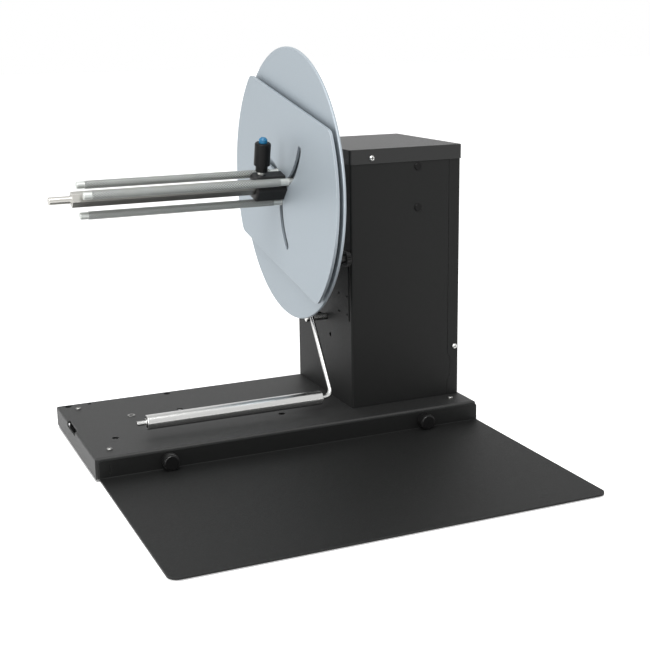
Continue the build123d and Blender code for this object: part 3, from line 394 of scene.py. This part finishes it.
class REWINDER_OT_steel(bpy.types.Operator):
    """Ground and turned steel on the spindle, the roller and the arm"""

    bl_idname = "rewinder.steel"
    bl_label = "Finish Steel"
    bl_options = {"REGISTER", "UNDO"}

    def execute(self, context):
        finishes = context.scene.rewinder_finishes
        look = {
            # The bright edge colour is partly rubbing and partly a painted highlight
            "color": (0.6, 0.6, 0.59), "metallic": 1.0, "grain": 700.0, "depth": 0.000001,
            "stretch": (0.15, 2.0, 2.0), "roughness": 0.23, "uneven": 0.03, "mottle": 0.94, "wear_and_highlight": 0.4,
            "rubbed_and_highlight": (0.85, 0.85, 0.85),
        }
        turned = ["roller_tube", "dancer_arm", "standoffs", "brake_drum", "brake_lever", "brake_pivot",
                  "brake_spring", "tension_slider", "ball_bearings"]
        paint(make_material("Turned Steel", look), turned)
        bar = dict(look, color=(0.5, 0.49, 0.46), roughness=0.32)
        paint(make_material("Drawn Bar", bar), ["mandrel_spindle"])
        for number, angle in enumerate(ROD_ANGLES, start=1):
            arm = Vector((0.0, cos(radians(angle)), sin(radians(angle))))
            knurl = {
                "Centre": AXIS + arm * ROD_CIRCLE, "Radius": ROD_RADIUS, "Pitch": finishes.knurl_pitch,
                "Start": ROD_KNURL_START, "End": ROD_KNURL_END,
            }
            # The near-black colour of the knurls' grooves is painted shade
            rod = dict(
                look, color=(0.52, 0.54, 0.52), metallic=0.6, roughness=0.38, knurl=knurl,
                shaded_groove=(0.01, 0.011, 0.01),
            )
            paint(make_material(f"Knurled Rod {number}", rod), [f"core_rod_{number}"])
        return {"FINISHED"}


class REWINDER_OT_mouldings(bpy.types.Operator):
    """Moulded knobs, plugs, bushes, feet and the brake pad"""

    bl_idname = "rewinder.mouldings"
    bl_label = "Finish Mouldings"
    bl_options = {"REGISTER", "UNDO"}

    def execute(self, context):
        finishes = context.scene.rewinder_finishes
        # The lighter edge colour is partly rubbing and partly a painted highlight
        look = {
            "color": (0.004, 0.004, 0.004), "grain": 2200.0, "depth": 0.00002, "roughness": 0.3,
            "uneven": 0.06, "wear_and_highlight": 0.25, "rubbed_and_highlight": (0.09, 0.09, 0.09), "mottle": 0.7, "specular": 0.35,
        }
        knobs = ["plate_knob_left", "plate_knob_right", "tension_knob", "roller_bushes"]
        paint(make_material("Moulded Black", look), knobs)
        matt = dict(look, specular=0.15, roughness=0.4, wear_and_highlight=0.15)
        paint(make_material("Moulded Matt Black", matt), ["clamp_knob", "blanking_plugs"])
        button = dict(look, color=tuple(finishes.button_color), roughness=0.28, rubbed_and_highlight=(0.1, 0.3, 0.7))
        paint(make_material("Moulded Blue", button), ["clamp_button"])
        rubber = dict(look, color=(0.02, 0.02, 0.02), roughness=0.8, depth=0.0001)
        paint(make_material("Rubber", rubber), ["base_feet", "plate_pads"])
        felt = dict(look, color=(0.3, 0.28, 0.25), roughness=0.92, depth=0.0003)
        paint(make_material("Felt", felt), ["brake_pad"])
        return {"FINISHED"}


class REWINDER_OT_fasteners(bpy.types.Operator):
    """Zinc-plated screws, nuts and pins"""

    bl_idname = "rewinder.fasteners"
    bl_label = "Finish Fasteners"
    bl_options = {"REGISTER", "UNDO"}

    def execute(self, context):
        # The bright edge colour is partly rubbing and partly a painted highlight
        look = {
            "color": (0.66, 0.66, 0.64), "metallic": 1.0, "grain": 1600.0, "depth": 0.00002,
            "roughness": 0.27, "uneven": 0.08, "wear_and_highlight": 0.4, "rubbed_and_highlight": (0.9, 0.9, 0.88),
        }
        plated = ["weld_nuts", "tower_bolts", "standoff_screws", "spindle_nut",
                  "rod_nut_1", "rod_nut_2", "rod_nut_3", "arm_pivot_nut", "arm_stop_nut", "roller_clips",
                  "arm_pivot_bolt", "arm_stop_peg", "clamp_stud", "cap_screws", "cover_screws"]
        paint(make_material("Zinc Plate", look), plated)
        dulled = dict(look, color=(0.3, 0.3, 0.29), roughness=0.42, rubbed_and_highlight=(0.5, 0.5, 0.48))
        paint(make_material("Dull Zinc", dulled), ["foot_screws", "insert_nut"])
        return {"FINISHED"}


def cross_recess_shade(name, place, outward):
    """A closed cross-shaped piece with sloping sides, its top a hair proud of place, that shows a driver
    recess as painted shade.
    """
    mesh = bpy.data.meshes.new(name)
    turn = Vector(outward).to_track_quat("Z", "X").to_matrix()
    mouth = [(RECESS_WIDTH, RECESS_ARM), (RECESS_WIDTH, RECESS_WIDTH), (RECESS_ARM, RECESS_WIDTH)]
    outline = []
    for quarter in range(4):
        spin = Matrix.Rotation(radians(-90 * quarter), 2)
        outline += [spin @ Vector(point) for point in mouth]
    work = bmesh.new()
    rings = []
    for share, height in ((1.0, RECESS_STANDS_OUT), (RECESS_FLOOR_SHARE, -RECESS_DEPTH)):
        ring = [work.verts.new(turn @ Vector((p.x * share, p.y * share, height))) for p in outline]
        rings.append(ring)
    for index in range(len(outline)):
        following = (index + 1) % len(outline)
        corners = (rings[0][index], rings[0][following], rings[1][following], rings[1][index])
        work.faces.new(corners)
    work.faces.new(rings[1])
    work.faces.new(list(reversed(rings[0])))
    bmesh.ops.recalc_face_normals(work, faces=work.faces)
    work.to_mesh(mesh)
    work.free()
    mesh.transform(Matrix.Translation(place))
    piece = bpy.data.objects.new(name, mesh)
    bpy.context.scene.collection.objects.link(piece)
    return piece


class REWINDER_OT_recess_shades(bpy.types.Operator):
    """Near-black cross pieces on the heads of the visible screws: painted shade for their recesses"""

    bl_idname = "rewinder.screw_recesses"
    bl_label = "Add Recess Shades"
    bl_options = {"REGISTER", "UNDO"}

    def execute(self, context):
        # Painted shade: a near-black colour for the inside of the driver recesses
        look = {
            "color": (0.008, 0.008, 0.008), "grain": 1500.0, "depth": 0.00002, "roughness": 0.6,
            "metallic": 0.4, "wear_and_highlight": 0.3, "rubbed_and_highlight": (0.1, 0.1, 0.1),
        }
        recess_shade = make_material("Painted Recess Shade", look)
        heads = []
        lowest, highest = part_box("foot_screws")
        for x in (lowest[0] + PAN_HEAD_RADIUS, highest[0] - PAN_HEAD_RADIUS):
            for y in (lowest[1] + PAN_HEAD_RADIUS, highest[1] - PAN_HEAD_RADIUS):
                heads.append((Vector((x, y, highest[2])), (0, 0, 1)))
        for node in ("cap_screws", "cover_screws"):
            lowest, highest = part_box(node)
            x = (lowest[0] + highest[0]) / 2
            z = (lowest[2] + highest[2]) / 2
            heads.append((Vector((x, lowest[1], z)), (0, -1, 0)))
            heads.append((Vector((x, highest[1], z)), (0, 1, 0)))
        for number, (place, outward) in enumerate(heads, start=1):
            piece = cross_recess_shade(f"screw_recess_{number}", place, outward)
            piece.data.materials.append(recess_shade)
            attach(piece, "base")
        return {"FINISHED"}


class REWINDER_OT_stage(bpy.types.Operator):
    """Floor, surround, lights and the photograph's camera"""

    bl_idname = "rewinder.stage"
    bl_label = "Set Stage"
    bl_options = {"REGISTER", "UNDO"}

    def execute(self, context):
        settings = context.scene.rewinder_stage
        self.add_floor(context)
        self.add_surround(context, settings)
        self.add_lights(context, settings)
        self.add_camera(context)
        context.scene.view_settings.view_transform = "Standard"
        return {"FINISHED"}

    def add_floor(self, context):
        """A plain pale floor"""
        mesh = bpy.data.meshes.new("floor")
        work = bmesh.new()
        bmesh.ops.create_grid(work, x_segments=2, y_segments=2, size=FLOOR_REACH)
        work.to_mesh(mesh)
        work.free()
        floor = bpy.data.objects.new("floor", mesh)
        context.scene.collection.objects.link(floor)
        look = {
            "color": (0.9, 0.9, 0.9), "grain": 3.0, "depth": 0.0, "roughness": 0.9, "mottle": 0.995,
            "lifted": 0.5,
        }
        floor.data.materials.append(make_material("Studio Floor", look))

    def add_surround(self, context, settings):
        """A white surround: full white to the camera and in reflections, softer as light"""
        world = bpy.data.worlds.new("surround")
        context.scene.world = world
        world.use_nodes = True
        tree = world.node_tree
        tree.nodes.clear()
        strength_inputs = {"Value": seen_directly(tree), "To Min": settings.sky, "To Max": 1.0}
        strength = add_node(tree, "ShaderNodeMapRange", strength_inputs)
        glow_inputs = {"Color": (1.0, 1.0, 1.0, 1.0), "Strength": strength.outputs[0]}
        glow = add_node(tree, "ShaderNodeBackground", glow_inputs)
        add_node(tree, "ShaderNodeOutputWorld", {"Surface": glow.outputs[0]})

    def add_lights(self, context, settings):
        """A large light above and a smaller one on the left"""
        aims = [
            ("key", settings.key_power, *KEY_LIGHT),
            ("side", settings.side_power, *SIDE_LIGHT),
        ]
        for name, power, place, size in aims:
            light = bpy.data.lights.new(name, "AREA")
            light.energy = power
            light.size = size
            lamp = bpy.data.objects.new(name, light)
            lamp.location = place
            lamp.rotation_euler = (LIGHT_AIM - Vector(place)).to_track_quat("-Z", "Y").to_euler()
            context.scene.collection.objects.link(lamp)

    def add_camera(self, context):
        """The camera, from its place, heading, tilt and roll"""
        yaw, pitch, roll = (radians(a) for a in (CAMERA_YAW, CAMERA_PITCH, CAMERA_ROLL))
        ahead = Vector((sin(yaw) * cos(pitch), cos(yaw) * cos(pitch), sin(pitch)))
        level = ahead.cross(Vector((0, 0, 1))).normalized()
        upright = level.cross(ahead)
        right = level * cos(roll) + upright * sin(roll)
        up = upright * cos(roll) - level * sin(roll)
        camera = bpy.data.cameras.new("camera")
        camera.lens = CAMERA_LENS
        camera.sensor_width = CAMERA_SENSOR
        eye = bpy.data.objects.new("camera", camera)
        turn = Matrix((right, up, -ahead)).transposed().to_4x4()
        eye.matrix_world = Matrix.Translation(CAMERA_PLACE) @ turn
        context.scene.collection.objects.link(eye)
        context.scene.camera = eye


class REWINDER_PT_looks(bpy.types.Panel):
    """Sidebar panel with the finishes and the stage"""

    bl_idname = "REWINDER_PT_looks"
    bl_label = "Rewinder"
    bl_space_type = "VIEW_3D"
    bl_region_type = "UI"
    bl_category = "Rewinder"

    def draw(self, context):
        layout = self.layout
        for group in (context.scene.rewinder_finishes, context.scene.rewinder_stage):
            for key in group.__annotations__:
                layout.prop(group, key)
        for operator in OPERATORS:
            layout.operator(operator.bl_idname)


OPERATORS = (
    REWINDER_OT_sheet_metal,
    REWINDER_OT_plates,
    REWINDER_OT_steel,
    REWINDER_OT_mouldings,
    REWINDER_OT_fasteners,
    REWINDER_OT_recess_shades,
    REWINDER_OT_stage,
)
CLASSES = (RewinderFinishes, RewinderStage, *OPERATORS, REWINDER_PT_looks)


def register():
    for item in CLASSES:
        bpy.utils.register_class(item)
    bpy.types.Scene.rewinder_finishes = bpy.props.PointerProperty(type=RewinderFinishes)
    bpy.types.Scene.rewinder_stage = bpy.props.PointerProperty(type=RewinderStage)


def unregister():
    del bpy.types.Scene.rewinder_stage
    del bpy.types.Scene.rewinder_finishes
    for item in reversed(CLASSES):
        bpy.utils.unregister_class(item)


def main():
    """Apply every operator in order."""
    register()
    bpy.ops.rewinder.sheet_metal()
    bpy.ops.rewinder.plates()
    bpy.ops.rewinder.steel()
    bpy.ops.rewinder.mouldings()
    bpy.ops.rewinder.fasteners()
    bpy.ops.rewinder.screw_recesses()
    bpy.ops.rewinder.stage()


if __name__ == "__main__":
    main()
